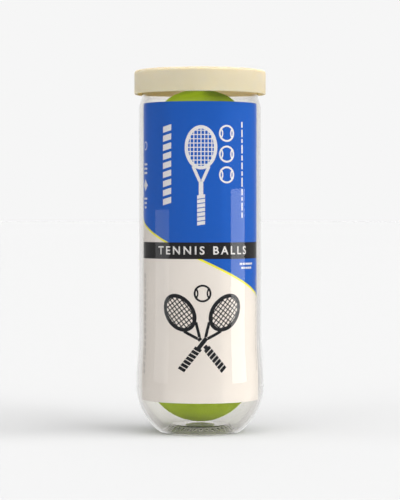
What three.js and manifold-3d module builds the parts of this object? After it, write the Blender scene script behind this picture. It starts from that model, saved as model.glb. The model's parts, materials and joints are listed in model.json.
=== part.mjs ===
// A clear, blow-moulded can of three pressurised tennis balls, standing on its foot ring.
// A printed sleeve lines the wall, a metal end with a ring pull is double seamed to the neck,
// and a plastic overcap pushes over the seam. Millimetres, +Z up, origin under the foot's centre.
import * as THREE from "three";
import { mergeVertices } from "three/addons/utils/BufferGeometryUtils.js";
import Module from "manifold-3d";

const wasm = await Module();
wasm.setup();

// Heights above the standing surface
const CAP_TOP = 217.8;
const CAP_BOTTOM = 203.4;
const SEAM_TOP = 216.2;
const SEAM_BOTTOM = 212.95;
const NECK_TOP = 204.5;
const NECK_BOTTOM = 201.4;
const SHOULDER_BOTTOM = 197.6;
const PANEL_BOTTOM = 61;
const BULGE_HEIGHT = 28;
const SLEEVE_BOTTOM = 20.1;
const SLEEVE_TOP = 197.6;

// Radii of the can
const WALL_RADIUS = 36.8;
const BULGE_RADIUS = 38.4;
const NECK_RADIUS = 35.2;
const COLLAR_RADIUS = 36.85;
const BASE_ARC = 34.6;
const FOOT_INNER = 22.6;
const FOOT_OUTER = 24.6;
const PUNT_RADIUS = 18.2;
const CAP_RADIUS = 39.6;
const SEAM_RADIUS = 38.15;
const SLEEVE_RADIUS = 34.1;
const SLEEVE_FLARE = 1.0;

// Thicknesses
const WALL = 1.3;
const NECK_WALL = 0.9;
const COLLAR_WALL = 0.55;
const SLEEVE_WALL = 0.25;
const CAP_WALL = 1.25;
const SHEET = 0.3;

// Balls
const BALL_RADIUS = 33.4;
const BALL_PITCH = 67.0;
const FIRST_BALL = 39.5;
const FELT = 3.1;
const CORE_OUTER = 29.5;
const CORE_INNER = 26.2;
const GROOVE_HALF_WIDTH = 1.2;
const SEAM_HALF_WIDTH = 0.95;
const SEAM_DEPTH = 0.7;

// End panel and ring pull
const OPENING_RADIUS = 33.9;
const PANEL_RADIUS = 33.7;
const RIM_PLANE = 209.75;
const PANEL_PLANE = 209.25;
const TAB_UNDERSIDE = 210.1;
const TAB_THICKNESS = 1.2;
const NOSE = { y: 23.0, radius: 8.5 };
const RING = { y: 6.5, radius: 11.5, hole: 8.2 };
const RIVET_Y = 24.0;
const WINDOW = { halfWidth: 4.7, front: 28.6, back: 19.5, corner: 1.2 };

const ROUND_SEGMENTS = 36;
const CORE_SEGMENTS = 20;
const SEAM_STEPS = 30;

const point = (r, z) => new THREE.Vector2(r, z);

// Points on a circular arc in the profile plane, angles in degrees from the outward direction.
function arc(r, z, radius, from, to, steps) {
  return Array.from({ length: steps + 1 }, (_, i) => {
    const a = THREE.MathUtils.degToRad(from + ((to - from) * i) / steps);
    return point(r + radius * Math.cos(a), z + radius * Math.sin(a));
  });
}

// Points on a smooth double bend between two radii, without its first point.
function blend(r0, z0, r1, z1, steps) {
  return Array.from({ length: steps }, (_, i) => {
    const t = (i + 1) / steps;
    const ease = (1 - Math.cos(Math.PI * t)) / 2;
    return point(r0 + (r1 - r0) * ease, z0 + (z1 - z0) * t);
  });
}

// A closed profile of even thickness about a centre line, mitred at its corners.
function thickened(line, thickness) {
  const side = (sign) =>
    line.map((p, i) => {
      const before = line[Math.max(i - 1, 0)];
      const after = line[Math.min(i + 1, line.length - 1)];
      const a = p.clone().sub(before);
      const b = after.clone().sub(p);
      if (i === 0) a.copy(b);
      if (i === line.length - 1) b.copy(a);
      const na = point(-a.y, a.x).normalize();
      const nb = point(-b.y, b.x).normalize();
      const miter = na.clone().add(nb).normalize();
      const reach = (sign * thickness) / 2 / miter.dot(na);
      return p.clone().addScaledVector(miter, reach);
    });
  return [...side(1), ...side(-1).reverse()];
}

// A solid of revolution about Z. A profile starts and ends on the axis, or closes on itself.
function turned(profile, segments = ROUND_SEGMENTS) {
  const points = profile.map((p) => p.clone());
  if (THREE.ShapeUtils.area(points) < 0) points.reverse();
  if (points.some((p) => p.x === 0)) {
    const runsAlongAxis = () => points[0].x === 0 && points[points.length - 1].x === 0;
    while (!runsAlongAxis()) points.push(points.shift());
  } else {
    points.push(points[0].clone());
  }
  return new THREE.LatheGeometry(points, segments).rotateX(Math.PI / 2);
}

function solid(geometry) {
  const bare = geometry.clone();
  bare.deleteAttribute("normal");
  bare.deleteAttribute("uv");
  const merged = mergeVertices(bare, 1e-4);
  return new wasm.Manifold(
    new wasm.Mesh({
      numProp: 3,
      vertProperties: merged.attributes.position.array,
      triVerts: new Uint32Array(merged.index.array),
    }),
  );
}

function geometryOf(manifold) {
  const mesh = manifold.getMesh();
  const geometry = new THREE.BufferGeometry();
  geometry.setAttribute("position", new THREE.BufferAttribute(mesh.vertProperties, 3));
  geometry.setIndex(new THREE.BufferAttribute(mesh.triVerts, 1));
  geometry.computeVertexNormals();
  return geometry;
}

function paint(color, roughness, more = {}) {
  return new THREE.MeshStandardMaterial({ color, roughness, metalness: 0, ...more });
}

const finish = {
  clearPlastic: paint(0xeef0ee, 0.05, { opacity: 0.25, transparent: true }),
  print: paint(0x2459b4, 0.35),
  cap: paint(0xe0d2b4, 0.6),
  endMetal: paint(0xc9cbcd, 0.3, { metalness: 1 }),
  compound: paint(0x8d8f8c, 0.8),
  felt: paint(0x9fbf1f, 1),
  seam: paint(0xe6e6d8, 0.7),
  rubber: paint(0x3b3a38, 0.8),
};

const can = new THREE.Group();

function add(name, geometry, material, parent = can) {
  const mesh = new THREE.Mesh(geometry, material);
  mesh.name = name;
  parent.add(mesh);
}

// The wall, base and neck are one blown shell. Its neck ends in a flange that the seam folds down.
function canBody() {
  const arcCentre = BULGE_RADIUS - BASE_ARC;
  const outside = [
    point(0, 4.4),
    point(PUNT_RADIUS - 4, 4.0),
    point(PUNT_RADIUS, 3.4),
    point(FOOT_INNER - 1.0, 0.7),
    point(FOOT_INNER, 0),
    point(FOOT_OUTER - 0.6, 0),
    ...arc(arcCentre, BULGE_HEIGHT, BASE_ARC, -52.6, 0, 6),
    ...blend(BULGE_RADIUS, BULGE_HEIGHT, WALL_RADIUS, PANEL_BOTTOM, 4),
    point(WALL_RADIUS, SHOULDER_BOTTOM),
    ...blend(WALL_RADIUS, SHOULDER_BOTTOM, NECK_RADIUS, NECK_BOTTOM, 3),
    point(NECK_RADIUS, NECK_TOP),
    ...blend(NECK_RADIUS, NECK_TOP, COLLAR_RADIUS, 208.6, 2),
    point(COLLAR_RADIUS, 215.15),
    point(37.4, 215.15),
    point(37.4, 213.55),
    point(37.75, 213.55),
    point(37.75, 215.6),
  ];
  const inside = [
    point(0, 5.7),
    point(PUNT_RADIUS - 4, 5.3),
    point(PUNT_RADIUS + 0.6, 4.6),
    point(FOOT_INNER, 1.7),
    point(FOOT_OUTER - 0.9, 1.4),
    ...arc(arcCentre, BULGE_HEIGHT, BASE_ARC - WALL, -50.5, 0, 6),
    ...blend(BULGE_RADIUS - WALL, BULGE_HEIGHT, WALL_RADIUS - WALL, PANEL_BOTTOM, 4),
    point(WALL_RADIUS - WALL, SHOULDER_BOTTOM - 0.6),
    ...blend(WALL_RADIUS - WALL, SHOULDER_BOTTOM - 0.6, NECK_RADIUS - NECK_WALL, NECK_BOTTOM - 0.4, 3),
    point(NECK_RADIUS - NECK_WALL, NECK_TOP),
    ...blend(NECK_RADIUS - NECK_WALL, NECK_TOP, COLLAR_RADIUS - COLLAR_WALL, 208.4, 2),
    point(COLLAR_RADIUS - COLLAR_WALL, 215.6),
  ];
  return turned([...outside, ...inside.reverse()]);
}

// The printed film is rolled into a tube that follows the inside of the wall.
function labelSleeve() {
  const side = (radius) => [
    point(radius + SLEEVE_FLARE, SLEEVE_BOTTOM),
    point(radius + SLEEVE_FLARE, BULGE_HEIGHT),
    ...blend(radius + SLEEVE_FLARE, BULGE_HEIGHT, radius, PANEL_BOTTOM, 4),
    point(radius, SLEEVE_TOP),
  ];
  return turned([...side(SLEEVE_RADIUS), ...side(SLEEVE_RADIUS - SLEEVE_WALL).reverse()]);
}

// What stays on the can once the panel is torn out: countersink, chuck wall, seam and cover hook.
function endRing() {
  const wall = SEAM_RADIUS - SHEET / 2;
  const top = SEAM_TOP - SHEET / 2;
  const curl = SEAM_BOTTOM + SHEET / 2;
  return turned(
    thickened(
      [
        point(OPENING_RADIUS, RIM_PLANE),
        point(34.5, RIM_PLANE),
        ...arc(35.15, 209.0, 0.42, 180, 360, 3),
        ...arc(36.6, top - 0.55, 0.55, 180, 90, 2),
        ...arc(wall - 0.4, top - 0.4, 0.4, 90, 0, 2),
        ...arc(wall - 0.425, curl + 0.425, 0.425, 0, -180, 3),
        point(wall - 0.85, 214.95),
      ],
      SHEET,
    ),
  );
}

// Rubbery sealing compound, squeezed between the can's flange and the roof of the seam.
function seamCompound() {
  return turned([point(36.7, 215.65), point(37.55, 215.65), point(37.55, 215.85), point(36.7, 215.85)]);
}

// The part of the end inside the score. A step sets its middle below the rim, so that it is stiff.
function tearPanel() {
  return turned(
    thickened(
      [
        point(0, PANEL_PLANE),
        point(30.6, PANEL_PLANE),
        point(31.5, RIM_PLANE),
        point(PANEL_RADIUS, RIM_PLANE),
      ],
      SHEET,
    ),
  );
}

// The rivet is a coined boss, a neck through the tongue and a spread head.
function tabRivet() {
  const foot = PANEL_PLANE + SHEET / 2 + 0.03;
  return turned(
    [
      point(0, foot),
      point(3.0, foot),
      point(3.0, TAB_UNDERSIDE - 0.05),
      point(1.9, TAB_UNDERSIDE - 0.05),
      point(1.9, TAB_UNDERSIDE + 0.45),
      point(3.2, TAB_UNDERSIDE + 0.45),
      point(3.1, TAB_UNDERSIDE + 0.8),
      point(2.3, TAB_UNDERSIDE + 1.1),
      point(0, TAB_UNDERSIDE + 1.15),
    ],
    CORE_SEGMENTS,
  ).translate(0, RIVET_Y, 0);
}

function roundedBox(shape, halfWidth, back, front, corner) {
  const quarter = Math.PI / 2;
  shape.absarc(halfWidth - corner, front - corner, corner, 0, quarter, false);
  shape.absarc(-halfWidth + corner, front - corner, corner, quarter, 2 * quarter, false);
  shape.absarc(-halfWidth + corner, back + corner, corner, 2 * quarter, 3 * quarter, false);
  shape.absarc(halfWidth - corner, back + corner, corner, 3 * quarter, 4 * quarter, false);
  shape.closePath();
  return shape;
}

// A flat tongue lies inside the tab's window. The rivet clamps it, so it stays down as the tab lifts.
function tabTongue() {
  const gap = 0.35;
  const shape = roundedBox(
    new THREE.Shape(),
    WINDOW.halfWidth - gap,
    WINDOW.back + gap,
    WINDOW.front - gap,
    WINDOW.corner,
  );
  shape.holes.push(new THREE.Path().absarc(0, RIVET_Y, 2.05, 0, 2 * Math.PI, true));
  return new THREE.ExtrudeGeometry(shape, { depth: 0.35, bevelEnabled: false, curveSegments: 4 })
    .translate(0, 0, TAB_UNDERSIDE + 0.03);
}

// The ring pull's outline is the hull of its nose circle and its ring circle.
function pullTab() {
  const lean = Math.asin((RING.radius - NOSE.radius) / (NOSE.y - RING.y));
  const shape = new THREE.Shape();
  shape.absarc(0, NOSE.y, NOSE.radius, lean, Math.PI - lean, false);
  shape.absarc(0, RING.y, RING.radius, Math.PI - lean, 2 * Math.PI + lean, false);
  shape.closePath();
  shape.holes.push(new THREE.Path().absarc(0, RING.y, RING.hole, 0, 2 * Math.PI, true));
  shape.holes.push(
    roundedBox(new THREE.Path(), WINDOW.halfWidth, WINDOW.back, WINDOW.front, WINDOW.corner),
  );
  const bevel = 0.3;
  return new THREE.ExtrudeGeometry(shape, {
    depth: TAB_THICKNESS - 2 * bevel,
    bevelThickness: bevel,
    bevelSize: bevel,
    bevelOffset: -bevel,
    bevelSegments: 1,
    curveSegments: 8,
  }).translate(0, 0, TAB_UNDERSIDE + bevel);
}

// The overcap's skirt has a shallow snap bead under the seam, and its top a stacking recess.
function overcap() {
  const inner = CAP_RADIUS - CAP_WALL;
  const recess = 0.4;
  return turned([
    point(0, CAP_TOP - recess),
    point(35.2, CAP_TOP - recess),
    point(35.9, CAP_TOP),
    ...arc(CAP_RADIUS - 1.7, CAP_TOP - 1.7, 1.7, 90, 0, 4),
    ...arc(CAP_RADIUS - 0.5, CAP_BOTTOM + 0.5, 0.5, 0, -90, 2),
    point(inner + 0.2, CAP_BOTTOM),
    point(inner, CAP_BOTTOM + 0.3),
    point(inner, SEAM_BOTTOM - 1.3),
    point(inner - 0.1, SEAM_BOTTOM - 0.9),
    point(inner - 0.1, SEAM_BOTTOM - 0.5),
    point(inner, SEAM_BOTTOM - 0.1),
    point(inner, SEAM_TOP - 0.3),
    point(inner - 0.5, SEAM_TOP + 0.1),
    point(0, SEAM_TOP + 0.1),
  ]);
}

// The closed curve where the two felt panels of a tennis ball meet, on a unit sphere.
const SEAM_WAVE = 0.29;
function seamPoint(t) {
  const plain = 1 - SEAM_WAVE;
  return new THREE.Vector3(
    plain * Math.cos(t) + SEAM_WAVE * Math.cos(3 * t),
    plain * Math.sin(t) - SEAM_WAVE * Math.sin(3 * t),
    2 * Math.sqrt(plain * SEAM_WAVE) * Math.sin(2 * t),
  );
}

// A closed ribbon along the seam, between two radii.
function seamRibbon(inner, outer, halfWidth) {
  const positions = [];
  const faces = [];
  for (let i = 0; i < SEAM_STEPS; i++) {
    const t = (2 * Math.PI * i) / SEAM_STEPS;
    const out = seamPoint(t);
    const along = seamPoint(t + 1e-3).sub(seamPoint(t - 1e-3)).normalize();
    const across = new THREE.Vector3().crossVectors(out, along).normalize();
    const corners = [[inner, -1], [inner, 1], [outer, 1], [outer, -1]];
    for (const [radius, side] of corners) {
      const p = out.clone().multiplyScalar(radius).addScaledVector(across, side * halfWidth);
      positions.push(p.x, p.y, p.z);
    }
    for (let k = 0; k < 4; k++) {
      const a = 4 * i + k;
      const b = 4 * i + ((k + 1) % 4);
      const c = 4 * ((i + 1) % SEAM_STEPS) + k;
      const d = 4 * ((i + 1) % SEAM_STEPS) + ((k + 1) % 4);
      faces.push(a, b, c, b, d, c);
    }
  }
  const geometry = new THREE.BufferGeometry();
  geometry.setAttribute("position", new THREE.Float32BufferAttribute(positions, 3));
  geometry.setIndex(faces);
  geometry.computeVertexNormals();
  return geometry;
}

// Two dog-bone panels of felt, cut apart by the seam's groove.
function feltPanels() {
  const ball = solid(new THREE.IcosahedronGeometry(BALL_RADIUS, 4));
  const core = solid(new THREE.IcosahedronGeometry(BALL_RADIUS - FELT, 3));
  const groove = solid(seamRibbon(BALL_RADIUS - FELT - 1, BALL_RADIUS + 1, GROOVE_HALF_WIDTH));
  return ball
    .subtract(core)
    .subtract(groove)
    .decompose()
    .sort((a, b) => b.volume() - a.volume())
    .slice(0, 2)
    .map((panel) => geometryOf(panel));
}

// One moulded half of the rubber core, its parting face a little off the middle.
function coreHalf() {
  const parting = 0.1;
  const outside = arc(0, 0, CORE_OUTER, 0, 90, 5);
  const inside = arc(0, 0, CORE_INNER, 90, 0, 4);
  for (const p of [outside[0], inside[inside.length - 1]]) p.y = parting;
  for (const p of [outside[outside.length - 1], inside[0]]) p.x = 0;
  return turned([...outside, ...inside], CORE_SEGMENTS);
}

// A ball: two core halves, two felt panels and the rubber seam between the panels.
function ball(name, height, turn) {
  const group = new THREE.Group();
  group.position.z = height;
  group.rotation.set(...turn.map(THREE.MathUtils.degToRad));
  add(`${name}_core_half_a`, coreHalf(), finish.rubber, group);
  add(`${name}_core_half_b`, coreHalf().rotateX(Math.PI), finish.rubber, group);
  feltPanels().forEach((panel, i) => {
    add(`${name}_felt_${"ab"[i]}`, panel, finish.felt, group);
  });
  const seamOuter = BALL_RADIUS - SEAM_DEPTH;
  const seam = seamRibbon(BALL_RADIUS - FELT + 0.1, seamOuter, SEAM_HALF_WIDTH);
  add(`${name}_seam`, seam, finish.seam, group);
  can.add(group);
}

add("can_body", canBody(), finish.clearPlastic);
add("label_sleeve", labelSleeve(), finish.print);
add("seam_compound", seamCompound(), finish.compound);
add("end_ring", endRing(), finish.endMetal);
add("tear_panel", tearPanel(), finish.endMetal);
add("tab_rivet", tabRivet(), finish.endMetal);
add("tab_tongue", tabTongue(), finish.endMetal);
add("pull_tab", pullTab(), finish.endMetal);
add("overcap", overcap(), finish.cap);
ball("ball_bottom", FIRST_BALL, [-30, 90, -45]);
ball("ball_middle", FIRST_BALL + BALL_PITCH, [75, -20, 40]);
ball("ball_top", FIRST_BALL + 2 * BALL_PITCH, [20, -90, -45]);

export default can;
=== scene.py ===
import json
import math

import bpy
from mathutils import Matrix, Vector
from mathutils.kdtree import KDTree

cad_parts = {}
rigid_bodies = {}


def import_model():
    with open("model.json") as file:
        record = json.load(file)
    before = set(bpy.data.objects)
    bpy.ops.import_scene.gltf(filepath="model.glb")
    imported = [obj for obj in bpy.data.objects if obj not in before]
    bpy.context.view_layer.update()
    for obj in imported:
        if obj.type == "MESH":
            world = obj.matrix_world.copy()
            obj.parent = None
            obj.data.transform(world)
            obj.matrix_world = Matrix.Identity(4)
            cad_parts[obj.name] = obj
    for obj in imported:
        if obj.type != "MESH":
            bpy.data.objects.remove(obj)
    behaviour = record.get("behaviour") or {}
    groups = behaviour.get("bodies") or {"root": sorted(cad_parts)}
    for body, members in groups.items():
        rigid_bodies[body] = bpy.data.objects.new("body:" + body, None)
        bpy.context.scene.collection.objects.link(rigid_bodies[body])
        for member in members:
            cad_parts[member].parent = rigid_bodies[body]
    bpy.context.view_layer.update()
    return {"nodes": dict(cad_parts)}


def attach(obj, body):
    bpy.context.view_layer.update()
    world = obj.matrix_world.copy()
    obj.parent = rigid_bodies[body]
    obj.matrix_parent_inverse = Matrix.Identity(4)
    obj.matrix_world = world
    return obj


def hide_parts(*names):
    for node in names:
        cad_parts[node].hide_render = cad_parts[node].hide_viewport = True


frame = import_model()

# The camera
# It stands level, a little above the middle of the can, with a long lens that hardly narrows it.
# The lens is shifted down, so that the can's sides stay upright in the picture.
EYE_HEIGHT = 0.1322
EYE_DISTANCE = 1.25
LENS = 149
LENS_SHIFT = -0.075
bpy.ops.object.camera_add(location=(0, -EYE_DISTANCE, EYE_HEIGHT), rotation=(math.pi / 2, 0, 0))
camera = bpy.context.object
camera.data.lens = LENS
camera.data.shift_y = LENS_SHIFT
bpy.context.scene.camera = camera
bpy.context.scene.view_settings.view_transform = "Standard"

# The can body
# One clear shell, blown from polyester in a mould: the domed base, the bulge over it, the straight
# wall, the neck and the flange that the metal end is seamed to. Its wall is drawn as rings that are
# extruded one from the next, up the outside and back down the inside.
MM = 0.001
SIDES = 144
SHELL_SIDES = 256


def arc(radius, height, bend, first, last, steps):
    """Rings of a round bend, centred at (radius, height), with angles up from outward in degrees."""
    angles = [math.radians(first + (last - first) * i / steps) for i in range(steps + 1)]
    return [(radius + bend * math.cos(a), height + bend * math.sin(a)) for a in angles]


def sweep(start, end, steps):
    """Rings of a smooth double bend from one (radius, height) to another, without the first."""
    rings = []
    for i in range(1, steps + 1):
        ease = (1 - math.cos(math.pi * i / steps)) / 2
        rings.append((start[0] + (end[0] - start[0]) * ease, start[1] + (end[1] - start[1]) * i / steps))
    return rings


def edit_new(name):
    """Names the primitive just added, puts its place in its mesh and opens it for editing."""
    piece = bpy.context.object
    piece.name = name
    piece.data.name = name
    bpy.ops.object.transform_apply(location=True, rotation=True, scale=True)
    bpy.ops.object.mode_set(mode="EDIT")
    bpy.ops.mesh.select_all(action="SELECT")
    return piece


def pick_first_ring(piece, sides):
    bpy.ops.mesh.select_all(action="DESELECT")
    bpy.ops.object.mode_set(mode="OBJECT")
    for vertex in piece.data.vertices[:sides]:
        vertex.select = True
    bpy.ops.object.mode_set(mode="EDIT")


def extruded_ring(start, end):
    bpy.ops.mesh.extrude_region_move(
        TRANSFORM_OT_translate={"value": (0, 0, (end[1] - start[1]) * MM)}
    )
    if end[0] > 0:
        growth = end[0] / start[0]
        bpy.ops.transform.resize(value=(growth, growth, 1), center_override=(0, 0, end[1] * MM))
    else:
        bpy.ops.mesh.merge(type="CENTER")


def smooth(piece, angle=32):
    bpy.ops.object.select_all(action="DESELECT")
    piece.select_set(True)
    bpy.context.view_layer.objects.active = piece
    bpy.ops.object.shade_smooth_by_angle(angle=math.radians(angle))


def turned(name, rings, sides=SIDES, centre=(0, 0)):
    """A turned piece from rings of (radius, height) in millimetres. A radius of 0 closes a pole."""
    bpy.ops.object.select_all(action="DESELECT")
    wall = [ring for ring in rings if ring[0] > 0]
    bpy.ops.mesh.primitive_circle_add(
        vertices=sides, radius=wall[0][0] * MM, location=(0, 0, wall[0][1] * MM)
    )
    piece = edit_new(name)
    for start, end in zip(wall, wall[1:]):
        extruded_ring(start, end)
    if rings[-1][0] == 0:
        extruded_ring(wall[-1], rings[-1])
        pick_first_ring(piece, sides)
        extruded_ring(wall[0], rings[0])
    else:
        bpy.ops.object.mode_set(mode="OBJECT")
        last = len(piece.data.vertices) - sides
        for vertex in piece.data.vertices:
            vertex.select = vertex.index < sides or vertex.index >= last
        bpy.ops.object.mode_set(mode="EDIT")
        bpy.ops.mesh.bridge_edge_loops()
    bpy.ops.mesh.select_all(action="SELECT")
    bpy.ops.transform.translate(value=(centre[0] * MM, centre[1] * MM, 0))
    bpy.ops.mesh.normals_make_consistent(inside=False)
    bpy.ops.object.mode_set(mode="OBJECT")
    smooth(piece)
    return piece


def material(name):
    """A new material, with its shader and its node tree."""
    finish = bpy.data.materials.new(name)
    finish.use_nodes = True
    return finish, finish.node_tree, finish.node_tree.nodes["Principled BSDF"]


def node(tree, kind, **settings):
    made = tree.nodes.new(kind)
    for key, value in settings.items():
        setattr(made, key, value)
    return made


def maths(tree, operation, first, second=None):
    """A Math node on sockets or numbers."""
    made = node(tree, "ShaderNodeMath", operation=operation)
    for index, value in enumerate((first, second)):
        if value is None:
            continue
        if isinstance(value, (int, float)):
            made.inputs[index].default_value = value
        else:
            tree.links.new(value, made.inputs[index])
    return made.outputs[0]


def mixed(tree, factor, first, second):
    """A colour mixed from two, each a socket or a colour."""
    made = node(tree, "ShaderNodeMix", data_type="RGBA")
    for index, value in ((0, factor), (6, first), (7, second)):
        if isinstance(value, (int, float, tuple)):
            made.inputs[index].default_value = value
        else:
            tree.links.new(value, made.inputs[index])
    return made.outputs[2]


def noise(tree, scale, detail=2):
    """Cloudy noise in a piece's own coordinates."""
    place = node(tree, "ShaderNodeTexCoord")
    made = node(tree, "ShaderNodeTexNoise", noise_dimensions="3D")
    made.inputs["Scale"].default_value = scale
    made.inputs["Detail"].default_value = detail
    tree.links.new(place.outputs["Object"], made.inputs["Vector"])
    return made.outputs["Fac"]


def bumped(tree, shader, height, strength, distance):
    """Roughens a finish by a height that is given as a socket. distance is in metres."""
    bump = node(tree, "ShaderNodeBump")
    bump.inputs["Strength"].default_value = strength
    bump.inputs["Distance"].default_value = distance
    tree.links.new(height, bump.inputs["Height"])
    tree.links.new(bump.outputs[0], shader.inputs["Normal"])


def grainy(name, scale, dark, pale, roughness):
    """A matt material with a fine grain between two colours."""
    finish, tree, shader = material(name)
    tree.links.new(mixed(tree, noise(tree, scale), dark, pale), shader.inputs["Base Color"])
    shader.inputs["Roughness"].default_value = roughness
    return finish


def dress(piece, finish, body, slot, *replaced):
    """Gives a finished piece its material and its body, and hides the CAD nodes that it stands for. slot
    is not used.
    """
    piece.data.materials.clear()
    piece.data.materials.append(finish)
    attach(piece, body)
    if replaced:
        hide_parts(*replaced)


def lined(line, thickness):
    """The inner rings of a wall from its outer rings. thickness(height) is in millimetres."""
    inner = []
    for i, (radius, height) in enumerate(line):
        before = line[max(i - 1, 0)]
        after = line[min(i + 1, len(line) - 1)]
        along = Vector((after[0] - before[0], after[1] - before[1])).normalized()
        wall = thickness(height)
        inner.append((radius and radius - along.y * wall, height + along.x * wall))
    return inner


def shell_wall(height):
    """The blown wall is thinner in the neck, and thinner again in the flange."""
    if height < PANEL_FOOT:
        return 1.2 + 0.1 * min(height / BULGE, 1)
    to_neck = min(max((height - THINNING) / (SHOULDER + 2 - THINNING), 0), 1)
    to_flange = min(max((height - COLLAR + 2.5) / 2.5, 0), 1)
    return 1.3 - 0.5 * to_neck - 0.25 * to_flange


PANEL_FOOT = 61
BULGE = 28
THINNING = 170
SHOULDER = 195
COLLAR = 209.5
wall_line = [
    (0, 4.6),
    (5, 4.5),
    (10, 4.15),
    (14.2, 3.5),
    *arc(15.8, 2.75, 0.9, 105, 35, 6),
    (17.4, 2.71),
    (18.0, 2.34),
    (19.2, 1.59),
    (19.9, 1.16),
    *arc(22.2, 1.9, 1.9, 225, 270, 5),
    *arc(23.4, 1.6, 1.6, 270, 306, 4),
    *arc(3.8, BULGE, 34.6, -50.5, 0, 30),
    *sweep((38.4, BULGE), (36.8, PANEL_FOOT), 14),
    (36.8, 110),
    (36.8, 160),
    (36.8, THINNING),
    (36.8, THINNING + 3),
    (36.8, SHOULDER - 2),
    (36.8, SHOULDER),
    *sweep((36.8, SHOULDER), (35.2, 202.2), 14),
    (35.2, 203.6),
    *sweep((35.2, 203.6), (36.85, COLLAR), 12),
    (36.85, 213),
    (36.85, 215.15),
]
flange = [
    (37.4, 215.15),
    (37.4, 213.7),
    *arc(37.575, 213.7, 0.175, 180, 360, 4),
    (37.75, 215.45),
    (37.6, 215.6),
    (36.3, 215.6),
]
inner_line = lined(wall_line, shell_wall)[:-1]
shell = turned("can_shell", wall_line + flange + inner_line[::-1], sides=SHELL_SIDES)
# Moulded ribs stiffen the slope inside the foot: every eighth sector of it is raised.
RIB_RANGE = (17.7, 19.6)
RIB_STEP = 8
RIB_WIDTH = 3
RIB_RISE = 0.4
bpy.ops.object.mode_set(mode="EDIT")
bpy.ops.mesh.select_all(action="DESELECT")
bpy.ops.object.mode_set(mode="OBJECT")
for vertex in shell.data.vertices:
    radius = vertex.co.xy.length / MM
    sector = round(math.atan2(vertex.co.y, vertex.co.x) / math.tau * SHELL_SIDES)
    is_rib = sector % RIB_STEP < RIB_WIDTH
    vertex.select = is_rib and RIB_RANGE[0] < radius < RIB_RANGE[1] and vertex.co.z < 6 * MM
bpy.ops.object.mode_set(mode="EDIT")
bpy.ops.transform.translate(value=(0, 0, RIB_RISE * MM))
bpy.ops.mesh.select_all(action="SELECT")
bpy.ops.object.mode_set(mode="OBJECT")

clear_plastic, tree, shader = material("clear_polyester")
shader.inputs["Base Color"].default_value = (0.975, 0.96, 0.94, 1)
shader.inputs["Roughness"].default_value = 0.02
shader.inputs["IOR"].default_value = 1.57
shader.inputs["Transmission Weight"].default_value = 1
# Lamps shine through the shell, as they do through a real thin wall, but less at a low angle.
path = node(tree, "ShaderNodeLightPath")
slant = node(tree, "ShaderNodeLayerWeight")
through = node(tree, "ShaderNodeBsdfTransparent")
lost = maths(tree, "POWER", slant.outputs["Facing"], 5)
tree.links.new(mixed(tree, lost, (0.98, 0.97, 0.95, 1), (0.30, 0.30, 0.28, 1)), through.inputs[0])
either = node(tree, "ShaderNodeMixShader")
tree.links.new(path.outputs["Is Shadow Ray"], either.inputs[0])
tree.links.new(shader.outputs[0], either.inputs[1])
tree.links.new(through.outputs[0], either.inputs[2])
tree.links.new(either.outputs[0], tree.nodes["Material Output"].inputs["Surface"])
dress(shell, clear_plastic, "can", "clear_plastic", "can_body")

# The printed sleeve
# A plastic film, printed on its outer side, rolled into a tube and slipped inside the clear wall.
# The blue field ends in a slanting edge with a yellow line, over a cream field, and a black band
# runs round below the middle.
SLEEVE_RADIUS = 34.1
SLEEVE_FLARE = 1.0
SLEEVE_WALL = 0.25
SLEEVE_FOOT = 20.1
SLEEVE_HEAD = 197.6


def sleeve_side(radius):
    return [
        (radius + SLEEVE_FLARE, SLEEVE_FOOT),
        (radius + SLEEVE_FLARE, BULGE - 3),
        (radius + SLEEVE_FLARE, BULGE),
        *sweep((radius + SLEEVE_FLARE, BULGE), (radius, PANEL_FOOT), 14),
        (radius, 110),
        (radius, 160),
        (radius, SLEEVE_HEAD),
    ]


sleeve = turned(
    "printed_sleeve",
    sleeve_side(SLEEVE_RADIUS) + sleeve_side(SLEEVE_RADIUS - SLEEVE_WALL)[::-1],
)

EDGE_HEIGHT = 104.6
EDGE_SLOPE = 0.48
LINE_WIDTH = 1.35
BAND = (104.8, 114.6)
BLUE = (0.009, 0.115, 0.56, 1)
CREAM = (0.90, 0.85, 0.80, 1)
YELLOW = (0.95, 0.92, 0.05, 1)
BLACK = (0.012, 0.012, 0.013, 1)
printed_film, tree, shader = material("printed_film")
place = node(tree, "ShaderNodeTexCoord")
parts = node(tree, "ShaderNodeSeparateXYZ")
tree.links.new(place.outputs["Object"], parts.inputs[0])
across, height = parts.outputs[0], parts.outputs[2]
# The slanting edge is straight on the flat film, so it follows the angle round the tube.
angle = maths(tree, "ARCSINE", maths(tree, "DIVIDE", across, SLEEVE_RADIUS * MM))
drop = maths(tree, "MULTIPLY", angle, EDGE_SLOPE * SLEEVE_RADIUS * MM)
above = maths(tree, "SUBTRACT", maths(tree, "ADD", height, drop), EDGE_HEIGHT * MM)
is_blue = maths(tree, "GREATER_THAN", above, 0)
is_line = maths(tree, "LESS_THAN", maths(tree, "ABSOLUTE", above), LINE_WIDTH / 2 * MM)
middle = (BAND[0] + BAND[1]) / 2
from_band = maths(tree, "ABSOLUTE", maths(tree, "SUBTRACT", height, middle * MM))
is_band = maths(tree, "LESS_THAN", from_band, (BAND[1] - BAND[0]) / 2 * MM)
fields = mixed(tree, is_blue, CREAM, BLUE)
edged = mixed(tree, is_line, fields, YELLOW)
banded = mixed(tree, is_band, edged, BLACK)
tree.links.new(banded, shader.inputs["Base Color"])
shader.inputs["Roughness"].default_value = 0.45
shader.inputs["Specular IOR Level"].default_value = 0.15
dress(sleeve, printed_film, "can", "printed_film", "label_sleeve")
# The film's back is left white.
bare_film, tree, shader = material("bare_film")
shader.inputs["Base Color"].default_value = (0.80, 0.79, 0.76, 1)
shader.inputs["Roughness"].default_value = 0.5
sleeve.data.materials.append(bare_film)
for face in sleeve.data.polygons:
    if face.normal.xy.dot(face.center.xy) < 0:
        face.material_index = 1

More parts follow.
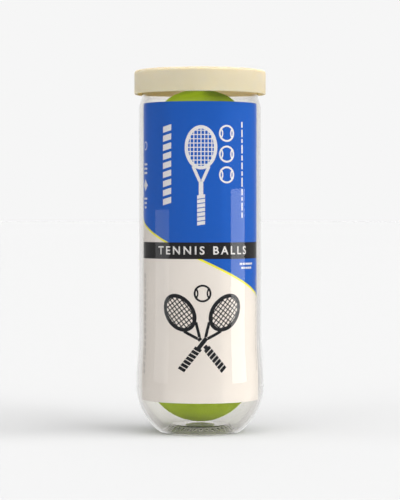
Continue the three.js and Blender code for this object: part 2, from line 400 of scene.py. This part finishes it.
# The inks
# Flat marks in white, black and grey, printed on the film while it is still flat, and then rolled up
# with it: rackets, balls, bars and dashes, and two plain words in the black band. They are cut into
# narrow strips, bent to the tube, laid on the film and given the thickness of a layer of ink.
UPRIGHT = math.pi / 2
INK_LIFT = 0.03
INK_THICKNESS = 0.03
CLEAR_OF_FILM = 2.5
CUT_WIDTH = 1.6
SIDE_COLUMN = -41.5


def apply_modifier(piece, kind, **settings):
    bpy.ops.object.select_all(action="DESELECT")
    piece.select_set(True)
    bpy.context.view_layer.objects.active = piece
    modifier = piece.modifiers.new(kind.lower(), kind)
    for key, value in settings.items():
        setattr(modifier, key, value)
    bpy.ops.object.modifier_apply(modifier=modifier.name)


def start_art(name):
    """An empty mesh, open for editing, that flat marks are drawn in."""
    bpy.ops.object.select_all(action="DESELECT")
    bpy.ops.mesh.primitive_plane_add(size=1)
    art = bpy.context.object
    art.name = name
    bpy.ops.object.mode_set(mode="EDIT")
    bpy.ops.mesh.delete(type="VERT")
    return art


def bar(across, height, width, length, turn=0):
    """A bar, turned clockwise as it is seen from the front."""
    middle = (across * MM, 0, height * MM)
    bpy.ops.mesh.select_all(action="DESELECT")
    bpy.ops.mesh.primitive_plane_add(size=1, location=middle, rotation=(UPRIGHT, 0, 0))
    bpy.ops.transform.resize(value=(width * MM, 1, length * MM), center_override=middle)
    if turn:
        bpy.ops.transform.rotate(value=-math.radians(turn), orient_axis="Y", center_override=middle)


def slanted_bar(across, height, width, length, slant):
    """A bar whose right end is raised by slant."""
    bar(across, height, width, length)
    bpy.ops.mesh.select_all(action="DESELECT")
    bpy.ops.object.mode_set(mode="OBJECT")
    mesh = bpy.context.object.data
    for vertex in mesh.vertices:
        vertex.select = vertex.index >= len(mesh.vertices) - 4 and vertex.co.x > across * MM
    bpy.ops.object.mode_set(mode="EDIT")
    bpy.ops.transform.translate(value=(0, 0, slant * MM))


def ring(across, height, half_width, half_height, line):
    middle = (across * MM, 0, height * MM)
    bpy.ops.mesh.select_all(action="DESELECT")
    bpy.ops.mesh.primitive_circle_add(vertices=56, radius=1, location=middle, rotation=(UPRIGHT, 0, 0))
    bpy.ops.transform.resize(value=(half_width * MM, 1, half_height * MM), center_override=middle)
    bpy.ops.mesh.extrude_region_move()
    shrink = (1 - line / half_width, 1, 1 - line / half_height)
    bpy.ops.transform.resize(value=shrink, center_override=middle)
    bpy.ops.mesh.select_linked()


def ball_mark(across, height, radius, line):
    """A ring with the two bends of a ball's seam in it."""
    ring(across, height, radius, radius, line)
    for side in (-1, 1):
        middle = across + side * 1.45 * radius
        ring(middle, height, radius, radius, line * 0.8)
        chord = across + side * 0.74 * radius
        bpy.ops.mesh.bisect(plane_co=(chord * MM, 0, 0), plane_no=(side, 0, 0), clear_outer=True)


def racket(name, rim, string, gap=None):
    """An upright racket 60 mm long about the origin. The shaft leaves the gap (from, to) open."""
    art = start_art(name)
    head, half_width, half_height = 16.5, 9.6, 13.0
    ring(0, head, half_width, half_height, rim)
    for i in range(-3, 4):
        reach = (half_height - rim / 2) * math.sqrt(1 - (i * 2.1 / (half_width - rim / 2)) ** 2)
        bar(i * 2.1, head, string, 2 * reach)
    for i in range(-4, 5):
        reach = (half_width - rim / 2) * math.sqrt(1 - (i * 2.5 / (half_height - rim / 2)) ** 2)
        bar(0, head + i * 2.5, 2 * reach, string)
    for side in (-1, 1):
        bar(side * 2.75, 1.0, 1.8, 9.6, turn=side * 24)
    shaft = [(-12.4, -3.4)] if gap is None else [(-12.4, gap[0]), (gap[1], -3.4)]
    for low, high in shaft:
        bar(0, (low + high) / 2, 2.6, high - low)
    for i in range(7):
        slanted_bar(0, -28.4 + i * 2.6, 4.6, 2.1, 0.7)
    bpy.ops.object.mode_set(mode="OBJECT")
    return art


def put(art, across, height, size=1.0, turn=0):
    """Moves a finished mark to its place on the flat film."""
    bpy.ops.object.select_all(action="DESELECT")
    art.select_set(True)
    bpy.context.view_layer.objects.active = art
    art.scale = (size, 1, size)
    art.rotation_euler = (0, math.radians(turn), 0)
    art.location = (across * MM, 0, height * MM)
    bpy.ops.object.transform_apply(location=True, rotation=True, scale=True)
    return art


def join(pieces):
    bpy.ops.object.select_all(action="DESELECT")
    for piece in pieces:
        piece.select_set(True)
    bpy.context.view_layer.objects.active = pieces[0]
    bpy.ops.object.join()
    return pieces[0]


def roll_up(art):
    """Bends flat marks round the tube, lays them on the film and gives them their thickness."""
    bpy.context.view_layer.objects.active = art
    bpy.ops.object.mode_set(mode="EDIT")
    bpy.ops.mesh.select_all(action="SELECT")
    edge = math.ceil(math.pi * SLEEVE_RADIUS / 2 / CUT_WIDTH)
    for i in range(-edge, edge + 1):
        bpy.ops.mesh.select_all(action="SELECT")
        bpy.ops.mesh.bisect(plane_co=(i * CUT_WIDTH * MM, 0, 0), plane_no=(1, 0, 0))
    for height in range(BULGE, PANEL_FOOT, 4):
        bpy.ops.mesh.select_all(action="SELECT")
        bpy.ops.mesh.bisect(plane_co=(0, 0, height * MM), plane_no=(0, 0, 1))
    bpy.ops.mesh.select_all(action="SELECT")
    bpy.ops.transform.translate(value=(0, -CLEAR_OF_FILM * MM, 0))
    bpy.ops.object.mode_set(mode="OBJECT")
    xs = [vertex.co.x for vertex in art.data.vertices]
    span = (max(xs) - min(xs)) / (SLEEVE_RADIUS * MM)
    apply_modifier(art, "SIMPLE_DEFORM", deform_method="BEND", deform_axis="Z", angle=span)
    bpy.ops.object.mode_set(mode="EDIT")
    bpy.ops.mesh.select_all(action="SELECT")
    bpy.ops.transform.translate(value=(0, -SLEEVE_RADIUS * MM, 0))
    bpy.ops.object.mode_set(mode="OBJECT")
    apply_modifier(
        art, "SHRINKWRAP", target=sleeve, wrap_mode="ABOVE_SURFACE", offset=INK_LIFT * MM
    )
    apply_modifier(art, "SOLIDIFY", thickness=INK_THICKNESS * MM, offset=0)
    return art


def and_behind(art):
    """Joins a copy of rolled marks to them, half a turn round the tube."""
    bpy.ops.object.select_all(action="DESELECT")
    art.select_set(True)
    bpy.context.view_layer.objects.active = art
    bpy.ops.object.duplicate()
    back = bpy.context.object
    back.data.transform(Matrix.Rotation(math.pi, 4, "Z"))
    return join([art, back])


marks = [put(racket("white_racket", 2.0, 0.55), 0.6, 154)]
art = start_art("white_bars")
for i in range(9):
    slanted_bar(-20.4, 138.2 + i * 5.35, 5.8, 3.6, 1.5)
for i in range(3):
    ball_mark(16.2, 154.4 + i * 12.2, 5.0, 1.1)
foot = 129
for length in (3.2, 4.6, 2.0, 3.8, 5.4, 2.6, 4.0, 3.0, 5.0, 2.2, 4.4, 3.4):
    bar(27.3, foot + length / 2, 1.1, length)
    foot += length + 1.2
ring(SIDE_COLUMN, 172, 2.6, 2.6, 0.6)
for i in range(3):
    bar(SIDE_COLUMN, 161 - i * 2.6, 5.2, 1.2)
bar(SIDE_COLUMN, 148.5, 5.0, 5.0, turn=45)
for i in range(3):
    bar(SIDE_COLUMN, 140.5 - i * 2.6, 5.2 - i * 1.2, 1.2)
bpy.ops.object.mode_set(mode="OBJECT")
marks.append(art)

bpy.ops.object.select_all(action="DESELECT")
bpy.ops.object.text_add()
words = bpy.context.object
words.data.body = "TENNIS BALLS"
words.data.align_x = "CENTER"
words.data.align_y = "CENTER"
words.data.size = 6.7 * MM
words.data.space_character = 1.42
words.data.offset = 0.14 * MM
words.data.resolution_u = 4
words.rotation_euler.x = UPRIGHT
bpy.ops.object.convert(target="MESH")
words = bpy.context.object
bpy.ops.object.transform_apply(location=True, rotation=True, scale=True)
marks.append(put(words, 2, 109.6))
white_ink = roll_up(join(marks))
white_ink.name = "white_ink"
and_behind(white_ink)

art = start_art("white_lines")
for row, length in ((101.8, 12.5), (99.4, 10.2)):
    for i in range(5):
        bar(31.5 + (i - 2) * length / 5, row, length / 5 - 0.5, 1.2)
bpy.ops.object.mode_set(mode="OBJECT")
lines = roll_up(art)
join([white_ink, lines])

crossed = [
    put(racket("black_racket", 2.4, 0.65), 5.8, 61, size=0.94, turn=38),
    put(racket("crossed_racket", 2.4, 0.65, gap=(-9.6, -5.4)), -2.8, 61, size=0.94, turn=-38),
]
art = start_art("black_ball")
ball_mark(1.5, 84.6, 5.2, 1.2)
bpy.ops.object.mode_set(mode="OBJECT")
crossed.append(art)
black_ink = and_behind(roll_up(join(crossed)))

art = start_art("grey_ink")
for across, foot, top in ((SIDE_COLUMN, 36, 96), (SIDE_COLUMN - 3, 36, 96), (44.0, 38, 92)):
    height = foot
    step = 0
    while height < top:
        length = (2.4, 3.6, 1.8, 4.2, 2.8)[step % 5]
        bar(across, height + length / 2, 0.9, length)
        height += length + 1.1
        step += 1
bpy.ops.object.mode_set(mode="OBJECT")
grey_ink = and_behind(roll_up(art))

for piece, name, colour, depth in (
    (white_ink, "white_ink", (0.90, 0.89, 0.88, 1), 0.04),
    (black_ink, "black_ink", (0.012, 0.013, 0.016, 1), 0.3),
    (grey_ink, "grey_ink", (0.36, 0.35, 0.34, 1), 0.15),
):
    worn = tuple(c * (1 - depth) for c in colour[:3]) + (1,)
    ink = grainy(name, 2500, worn, colour, 0.42)
    ink.node_tree.nodes["Principled BSDF"].inputs["Specular IOR Level"].default_value = 0.15
    piece.name = name
    dress(piece, ink, "can", "printed_film")

# The balls
# Each is a hollow rubber core, moulded as two halves, under two dog-bone panels of felt. The rubber
# seam shows in the groove between the panels. One ball is made, and then copied and turned.
BALL_RADIUS = 33.4
BALL_HEIGHTS = {"ball_bottom": 39.5, "ball_middle": 106.5, "ball_top": 173.5}
BALL_TURNS = {"ball_bottom": (-30, 90, -45), "ball_middle": (75, -20, 40), "ball_top": (20, -90, -45)}
SEAM_WAVE = 0.29
SEAM_POINTS = 900
FELT_THICKNESS = 2.6


def seam_point(t):
    """The closed curve where the panels meet, on a ball of radius 1."""
    plain = 1 - SEAM_WAVE
    return Vector(
        (
            plain * math.cos(t) + SEAM_WAVE * math.cos(3 * t),
            plain * math.sin(t) - SEAM_WAVE * math.sin(3 * t),
            2 * math.sqrt(plain * SEAM_WAVE) * math.sin(2 * t),
        )
    )


def panel_side(point):
    """Positive over one panel and negative over the other, for a point of length 1."""
    plain = 1 - SEAM_WAVE
    rise = point.z / (2 * math.sqrt(plain * SEAM_WAVE))
    slope = plain**2 / 2 - plain * SEAM_WAVE - 1.5 * SEAM_WAVE**2
    return slope * rise + 2 * SEAM_WAVE**2 * rise**3 - point.x * point.y


seam_tree = KDTree(SEAM_POINTS)
for i in range(SEAM_POINTS):
    seam_tree.insert(seam_point(2 * math.pi * i / SEAM_POINTS), i)
seam_tree.balance()


def ball_skin(name, radius, keep):
    """A fine ball surface of which only the vertices stay that keep(place, distance to seam) allows."""
    bpy.ops.object.select_all(action="DESELECT")
    bpy.ops.mesh.primitive_ico_sphere_add(subdivisions=7, radius=radius * MM)
    piece = edit_new(name)
    bpy.ops.mesh.select_all(action="DESELECT")
    bpy.ops.object.mode_set(mode="OBJECT")
    for vertex in piece.data.vertices:
        way = vertex.co.normalized()
        distance = seam_tree.find(way)[2] * BALL_RADIUS
        vertex.select = not keep(way, distance)
    bpy.ops.object.mode_set(mode="EDIT")
    bpy.ops.mesh.select_mode(type="VERT")
    bpy.ops.mesh.delete(type="VERT")
    bpy.ops.object.mode_set(mode="OBJECT")
    return piece


def felt_panel(name, side):
    piece = ball_skin(
        name, BALL_RADIUS - 0.25, lambda way, distance: panel_side(way) * side > 0 and distance > 0.75
    )
    edge = piece.vertex_groups.new(name="edge")
    for vertex in piece.data.vertices:
        distance = seam_tree.find(vertex.co.normalized())[2] * BALL_RADIUS
        fall = max(0, 1 - (distance - 0.75) / 1.9)
        edge.add([vertex.index], fall**2.2, "REPLACE")
    apply_modifier(piece, "DISPLACE", strength=-1.35 * MM, mid_level=0, vertex_group="edge")
    for texture, amount in ((clumps, 0.34), (tufts, 0.26)):
        apply_modifier(piece, "DISPLACE", texture=texture, strength=amount * MM, mid_level=0.5)
    apply_modifier(piece, "SOLIDIFY", thickness=FELT_THICKNESS * MM, offset=-1)
    smooth(piece, 80)
    return piece


clumps = bpy.data.textures.new("felt_clumps", "CLOUDS")
clumps.noise_scale = 0.0031
clumps.noise_depth = 3
tufts = bpy.data.textures.new("felt_tufts", "CLOUDS")
tufts.noise_scale = 0.0011
tufts.noise_depth = 2

felt_a = felt_panel("felt_a", 1)
felt_b = felt_panel("felt_b", -1)
seam = ball_skin("seam", BALL_RADIUS - 0.85, lambda way, distance: distance < 1.9)
apply_modifier(seam, "SOLIDIFY", thickness=1.6 * MM, offset=-1)
smooth(seam, 80)

felt, tree, shader = material("ball_felt")
wisps = noise(tree, 900, detail=4)
patches = noise(tree, 110, detail=3)
deep = mixed(tree, wisps, (0.22, 0.35, 0.001, 1), (0.60, 0.76, 0.004, 1))
tone = mixed(tree, patches, (0.27, 0.42, 0.002, 1), (0.56, 0.74, 0.004, 1))
tree.links.new(mixed(tree, 0.5, deep, tone), shader.inputs["Base Color"])
shader.inputs["Roughness"].default_value = 0.95
shader.inputs["Sheen Weight"].default_value = 0.35
shader.inputs["Sheen Roughness"].default_value = 0.5
shader.inputs["Sheen Tint"].default_value = (0.80, 0.95, 0.15, 1)
bumped(tree, shader, wisps, 0.8, 0.5 * MM)

seam_rubber = grainy("seam_rubber", 700, (0.55, 0.58, 0.44, 1), (0.74, 0.76, 0.66, 1), 0.7)
core_rubber = grainy("core_rubber", 500, (0.035, 0.034, 0.032, 1), (0.07, 0.067, 0.063, 1), 0.75)


def turned_copy(piece, name, turn, height):
    """A copy with its own mesh, turned about the ball's middle and lifted to its place in the can."""
    copy = piece.copy()
    copy.data = piece.data.copy()
    copy.name = name
    bpy.context.collection.objects.link(copy)
    rx, ry, rz = (math.radians(t) for t in turn)
    spin = Matrix.Rotation(rx, 4, "X") @ Matrix.Rotation(ry, 4, "Y") @ Matrix.Rotation(rz, 4, "Z")
    copy.data.transform(Matrix.Translation((0, 0, height * MM)) @ spin)
    return copy


for ball, height in BALL_HEIGHTS.items():
    for piece, name, finish, slot, replaced in (
        (felt_a, "panel_a", felt, "ball_felt", "felt_a"),
        (felt_b, "panel_b", felt, "ball_felt", "felt_b"),
        (seam, "seam_rubber", seam_rubber, "seam_rubber", "seam"),
    ):
        copy = turned_copy(piece, f"{ball}_{name}", BALL_TURNS[ball], height)
        dress(copy, finish, ball, slot, f"{ball}_{replaced}")
    for half in "ab":
        core = frame["nodes"][f"{ball}_core_half_{half}"]
        core.data.materials.clear()
        core.data.materials.append(core_rubber)
for piece in (felt_a, felt_b, seam):
    bpy.data.objects.remove(piece)

# The metal end
# A full-aperture end, stamped from aluminium sheet. Its edge is curled with the can's flange into a
# double seam, round a bead of sealing compound. Inside the score line the panel tears out, pulled by
# the ring pull that is riveted to it.
end_ring = turned(
    "seamed_end_ring",
    [
        (33.9, 209.9),
        (34.35, 209.9),
        *arc(35.15, 209.02, 0.27, 180, 360, 8),
        (35.9, 215.5),
        *arc(36.6, 215.5, 0.7, 180, 90, 6),
        *arc(37.75, 215.8, 0.4, 90, 0, 5),
        *arc(37.725, 213.375, 0.425, 0, -90, 5),
        *arc(37.425, 213.375, 0.425, -90, -180, 5),
        (37.0, 214.9),
        (37.15, 214.95),
        (37.3, 214.9),
        *arc(37.425, 213.375, 0.125, 180, 270, 3),
        *arc(37.725, 213.375, 0.125, 270, 360, 3),
        *arc(37.75, 215.8, 0.1, 0, 90, 3),
        *arc(36.6, 215.5, 0.4, 90, 180, 4),
        *arc(35.15, 209.02, 0.57, 360, 180, 8),
        (34.35, 209.6),
        (33.9, 209.6),
    ],
)
SHEET = 0.3
RIVET_Y = 24.0
panel_top = [
    (0, 209.4),
    (6, 209.4),
    (12, 209.4),
    *arc(20.6, 209.35, 0.4, 165, 15, 6),
    (24, 209.4),
    *arc(27.6, 209.35, 0.45, 165, 15, 6),
    (30.4, 209.4),
    *sweep((30.5, 209.4), (31.6, 209.9), 6),
    (33.2, 209.9),
    (33.7, 209.84),
]
panel_back = [(radius, height - SHEET) for radius, height in panel_top]
tear_panel = turned("tear_off_panel", panel_top + panel_back[::-1])
rivet = turned(
    "ring_pull_rivet",
    [
        (0, 209.43),
        (3.0, 209.43),
        (3.0, 209.8),
        *arc(2.75, 209.8, 0.25, 0, 90, 4),
        (1.9, 210.05),
        (1.9, 210.55),
        (3.0, 210.55),
        *arc(3.0, 210.75, 0.2, 270, 400, 6),
        (2.3, 211.15),
        (1.1, 211.27),
        (0, 211.28),
    ],
    sides=64,
    centre=(0, RIVET_Y),
)

# The ring pull's outline is a large round ring that narrows to a smaller round nose.
TAB_UNDERSIDE = 210.1
TAB_MIDDLE = 210.7
RING_MIDDLE, RING_RADIUS, HOLE_RADIUS = 6.5, 11.5, 8.2
NOSE_MIDDLE, NOSE_RADIUS = 23.0, 8.5
CURL = 0.58


def tab_outline(name, radius_loss, height):
    """The tab's outline as a loop of edges, open for editing."""
    ring_radius = RING_RADIUS - radius_loss
    nose_radius = NOSE_RADIUS - radius_loss
    middle = (0, RING_MIDDLE * MM, height * MM)
    bpy.ops.object.select_all(action="DESELECT")
    bpy.ops.mesh.primitive_circle_add(vertices=120, radius=ring_radius * MM, location=middle)
    outline = edit_new(name)
    lean = (ring_radius - nose_radius) / (NOSE_MIDDLE - RING_MIDDLE) * ring_radius
    bpy.ops.mesh.select_all(action="DESELECT")
    bpy.ops.object.mode_set(mode="OBJECT")
    for vertex in outline.data.vertices:
        vertex.select = vertex.co.y > (RING_MIDDLE + lean) * MM
    bpy.ops.object.mode_set(mode="EDIT")
    shrink = nose_radius / ring_radius
    bpy.ops.transform.resize(value=(shrink, shrink, 1), center_override=middle)
    bpy.ops.transform.translate(value=(0, (NOSE_MIDDLE - RING_MIDDLE) * MM, 0))
    bpy.ops.mesh.select_all(action="SELECT")
    return outline


def round_wire(loop, radius):
    """Turns a closed loop of edges into a round curl of sheet metal."""
    bpy.ops.object.mode_set(mode="OBJECT")
    bpy.ops.object.convert(target="CURVE")
    loop.data.bevel_depth = radius * MM
    loop.data.bevel_resolution = 4
    bpy.ops.object.convert(target="MESH")
    return bpy.context.object


def cut_away(piece, cutter):
    apply_modifier(piece, "BOOLEAN", object=cutter, operation="DIFFERENCE", solver="EXACT")
    bpy.data.objects.remove(cutter)


def slab(piece, thickness):
    """Fills a loop that is open for editing and thickens it upwards."""
    bpy.ops.mesh.edge_face_add()
    bpy.ops.mesh.extrude_region_move(TRANSFORM_OT_translate={"value": (0, 0, thickness * MM)})
    bpy.ops.mesh.select_all(action="SELECT")
    bpy.ops.mesh.normals_make_consistent(inside=False)
    bpy.ops.object.mode_set(mode="OBJECT")
    return piece


def round_box(name, half_width, back, front, low, high, corner):
    """A box with rounded upright edges."""
    bpy.ops.object.select_all(action="DESELECT")
    bpy.ops.mesh.primitive_cube_add(
        size=1, location=(0, (back + front) / 2 * MM, (low + high) / 2 * MM)
    )
    box = bpy.context.object
    box.scale = (2 * half_width * MM, (front - back) * MM, (high - low) * MM)
    edit_new(name)
    bpy.ops.mesh.select_all(action="DESELECT")
    bpy.ops.mesh.select_mode(type="EDGE")
    bpy.ops.object.mode_set(mode="OBJECT")
    for edge in box.data.edges:
        first, last = (box.data.vertices[index].co for index in edge.vertices)
        edge.select = abs(first.z - last.z) > (high - low) * MM / 2
    bpy.ops.object.mode_set(mode="EDIT")
    bpy.ops.mesh.bevel(offset=corner * MM, segments=6)
    bpy.ops.mesh.select_mode(type="VERT")
    bpy.ops.object.mode_set(mode="OBJECT")
    return box


def drill(name, across, along, radius, low, high):
    bpy.ops.object.select_all(action="DESELECT")
    bpy.ops.mesh.primitive_cylinder_add(
        vertices=96,
        radius=radius * MM,
        depth=(high - low) * MM,
        location=(across * MM, along * MM, (low + high) / 2 * MM),
    )
    edit_new(name)
    bpy.ops.object.mode_set(mode="OBJECT")
    return bpy.context.object


web = slab(tab_outline("tab_web", CURL, TAB_MIDDLE - 0.2), 0.4)
cut_away(web, drill("finger_hole", 0, RING_MIDDLE, HOLE_RADIUS + CURL, 209, 212))
cut_away(web, round_box("window", 4.7, 19.5, 28.6, 209, 212, 1.2))
curls = [round_wire(tab_outline("outer_curl", CURL, TAB_MIDDLE), CURL)]
bpy.ops.object.select_all(action="DESELECT")
hole_middle = (0, RING_MIDDLE * MM, TAB_MIDDLE * MM)
bpy.ops.mesh.primitive_circle_add(vertices=96, radius=(HOLE_RADIUS + CURL) * MM, location=hole_middle)
curls.append(round_wire(edit_new("hole_curl"), CURL))
apply_modifier(web, "BEVEL", width=0.08 * MM, segments=2, limit_method="ANGLE")
ring_pull = join([web] + curls)
ring_pull.name = "ring_pull_tab"
smooth(ring_pull)

tongue = round_box("rivet_tongue", 4.35, 19.85, 28.25, TAB_UNDERSIDE + 0.03, TAB_UNDERSIDE + 0.38, 1.2)
cut_away(tongue, drill("rivet_hole", 0, RIVET_Y, 2.05, 209, 212))
apply_modifier(tongue, "BEVEL", width=0.08 * MM, segments=2, limit_method="ANGLE")
smooth(tongue)

end_metal, tree, shader = material("end_aluminium")
shader.inputs["Base Color"].default_value = (0.80, 0.81, 0.82, 1)
shader.inputs["Metallic"].default_value = 1
# Fine lines from the rolling mill run across the sheet.
place = node(tree, "ShaderNodeTexCoord")
stretch = node(tree, "ShaderNodeMapping")
stretch.inputs["Scale"].default_value = (4000, 60, 400)
lines = node(tree, "ShaderNodeTexNoise", noise_dimensions="3D")
lines.inputs["Scale"].default_value = 1
lines.inputs["Detail"].default_value = 3
tree.links.new(place.outputs["Object"], stretch.inputs["Vector"])
tree.links.new(stretch.outputs[0], lines.inputs["Vector"])
gloss = node(tree, "ShaderNodeMapRange")
gloss.inputs["To Min"].default_value = 0.20
gloss.inputs["To Max"].default_value = 0.42
tree.links.new(lines.outputs["Fac"], gloss.inputs["Value"])
tree.links.new(gloss.outputs[0], shader.inputs["Roughness"])
bumped(tree, shader, lines.outputs["Fac"], 0.25, 0.02 * MM)
dress(end_ring, end_metal, "can", "end_metal", "end_ring")
dress(tear_panel, end_metal, "end_panel", "end_metal", "tear_panel")
dress(rivet, end_metal, "end_panel", "end_metal", "tab_rivet")
dress(tongue, end_metal, "end_panel", "end_metal", "tab_tongue")
dress(ring_pull, end_metal, "tab", "end_metal", "pull_tab")

compound = grainy("sealing_compound", 1500, (0.20, 0.21, 0.20, 1), (0.33, 0.34, 0.32, 1), 0.8)
seam_compound = frame["nodes"]["seam_compound"]
seam_compound.data.materials.clear()
seam_compound.data.materials.append(compound)

# The overcap
# A push-on lid of cream polyethylene, moulded in one shot. A snap bead inside its skirt grips under
# the metal seam, and the shallow recess in its top takes the foot of the next can in a stack.
overcap = turned(
    "push_on_overcap",
    [
        (0, 217.15),
        (1.1, 217.15),
        (1.5, 217.4),
        (18, 217.4),
        (34.9, 217.4),
        *arc(34.9, 217.7, 0.3, 270, 320, 3),
        *arc(35.9, 217.3, 0.5, 135, 90, 3),
        *arc(37.9, 216.1, 1.7, 90, 0, 9),
        (39.6, 210),
        *arc(39.1, 203.9, 0.5, 0, -90, 5),
        *arc(38.75, 203.8, 0.4, 270, 180, 4),
        (38.35, 207),
        (38.35, 211.5),
        *arc(38.5, 212.2, 0.25, 200, 160, 3),
        (38.35, 212.9),
        (38.35, 215.7),
        *arc(37.75, 215.7, 0.6, 0, 90, 4),
        (18, 216.3),
        (0, 216.3),
    ],
)
cap_plastic, tree, shader = material("cap_polyethylene")
shader.inputs["Roughness"].default_value = 0.55
# The mould left a fine matt grain, and the moulding's colour drifts a little.
cream = mixed(tree, noise(tree, 45), (0.385, 0.332, 0.240, 1), (0.415, 0.358, 0.260, 1))
tree.links.new(cream, shader.inputs["Base Color"])
bumped(tree, shader, noise(tree, 3000), 0.35, 0.04 * MM)
shader.inputs["Subsurface Weight"].default_value = 1
shader.inputs["Subsurface Radius"].default_value = (1, 0.8, 0.5)
shader.inputs["Subsurface Scale"].default_value = 0.008
dress(overcap, cap_plastic, "cap", "cap_plastic", "overcap")

# The studio
# A pale floor in an even white surround, soft lamps and two soft strips. What the clear wall
# mirrors is another, darker room: white behind the can and dark before it, with a faint floor that
# ends near the can, so that only the wall's sides shine.
FLOOR_SIZE = 60
FLOOR_GREY = 0.466
MIRRORED_REACH = 0.35
MIRRORED_SHARE = 0.25
SURROUND = 0.922
DARK_SIDE = 0.10


def is_mirrored(tree):
    """1 for a ray that has been mirrored by a glossy surface, and 0 for another."""
    path = node(tree, "ShaderNodeLightPath")
    return maths(tree, "MINIMUM", path.outputs["Glossy Depth"], 1)


bpy.ops.object.select_all(action="DESELECT")
bpy.ops.mesh.primitive_plane_add(size=FLOOR_SIZE)
floor = bpy.context.object
floor.name = "floor"
floor_paint, tree, shader = material("floor_paint")
shader.inputs["Base Color"].default_value = (FLOOR_GREY, FLOOR_GREY, FLOOR_GREY, 1)
shader.inputs["Roughness"].default_value = 1
shader.inputs["Specular IOR Level"].default_value = 0
nothing = node(tree, "ShaderNodeBsdfTransparent")
either = node(tree, "ShaderNodeMixShader")
place = node(tree, "ShaderNodeTexCoord")
reach = node(tree, "ShaderNodeVectorMath", operation="LENGTH")
tree.links.new(place.outputs["Object"], reach.inputs[0])
is_near = maths(tree, "LESS_THAN", reach.outputs["Value"], MIRRORED_REACH)
hidden = maths(tree, "SUBTRACT", 1, maths(tree, "MULTIPLY", is_near, MIRRORED_SHARE))
tree.links.new(maths(tree, "MULTIPLY", is_mirrored(tree), hidden), either.inputs[0])
tree.links.new(shader.outputs[0], either.inputs[1])
tree.links.new(nothing.outputs[0], either.inputs[2])
tree.links.new(either.outputs[0], tree.nodes["Material Output"].inputs["Surface"])
floor.data.materials.append(floor_paint)

world = bpy.data.worlds.new("studio")
bpy.context.scene.world = world
world.use_nodes = True
tree = world.node_tree
backdrop = tree.nodes["Background"]
way = node(tree, "ShaderNodeTexCoord")
parts = node(tree, "ShaderNodeSeparateXYZ")
tree.links.new(way.outputs["Generated"], parts.inputs[0])
rise = node(tree, "ShaderNodeMapRange", interpolation_type="SMOOTHSTEP")
rise.inputs["From Min"].default_value = 0.5
rise.inputs["From Max"].default_value = 1.0
rise.inputs["To Min"].default_value = DARK_SIDE
rise.inputs["To Max"].default_value = SURROUND
tree.links.new(maths(tree, "MAXIMUM", parts.outputs[1], parts.outputs[2]), rise.inputs["Value"])
path = node(tree, "ShaderNodeLightPath")
is_scattered = maths(tree, "MINIMUM", path.outputs["Diffuse Depth"], 1)
is_indirect = maths(tree, "MAXIMUM", is_mirrored(tree), is_scattered)
seen = maths(tree, "MULTIPLY", maths(tree, "SUBTRACT", 1, is_indirect), SURROUND)
tree.links.new(maths(tree, "MAXIMUM", rise.outputs[0], seen), backdrop.inputs["Strength"])
backdrop.inputs["Color"].default_value = (1, 1, 1, 1)

for name, energy, spread, tilt, turn in (
    ("key", 4.6, 70, 62, 70),
    ("front_fill", 3.35, 90, 65, 0),
    ("left_fill", 2.45, 90, 70, -70),
):
    bpy.ops.object.light_add(type="SUN", rotation=(math.radians(tilt), 0, math.radians(turn)))
    lamp = bpy.context.object
    lamp.name = name
    lamp.data.energy = energy
    lamp.data.angle = math.radians(spread)
    lamp.visible_glossy = False
    lamp.visible_transmission = False
    lamp.data.use_shadow = name == "key"

STRIP_DISTANCE = 0.8
STRIP_WIDTH = 0.46
STRIP_TURN = 75
for side, top, strength in ((-1, 0.135, 0.9), (1, 0.155, 2.4)):
    strip_light, tree, shader = material("strip_light")
    glow = node(tree, "ShaderNodeEmission")
    glow.inputs["Strength"].default_value = strength
    tree.links.new(glow.outputs[0], tree.nodes["Material Output"].inputs["Surface"])
    bpy.ops.object.select_all(action="DESELECT")
    turn = math.radians(STRIP_TURN) * side
    bpy.ops.mesh.primitive_plane_add(
        size=1,
        location=(STRIP_DISTANCE * math.sin(turn), -STRIP_DISTANCE * math.cos(turn), top / 2),
        rotation=(math.pi / 2, 0, turn),
    )
    strip = bpy.context.object
    strip.name = f"strip_{'left' if side < 0 else 'right'}"
    strip.scale = (STRIP_WIDTH, top, 1)
    bpy.ops.object.transform_apply(location=True, rotation=True, scale=True)
    strip.data.materials.append(strip_light)
    strip.visible_camera = False
    strip.visible_diffuse = False
    strip.visible_shadow = False
    strip.visible_transmission = False
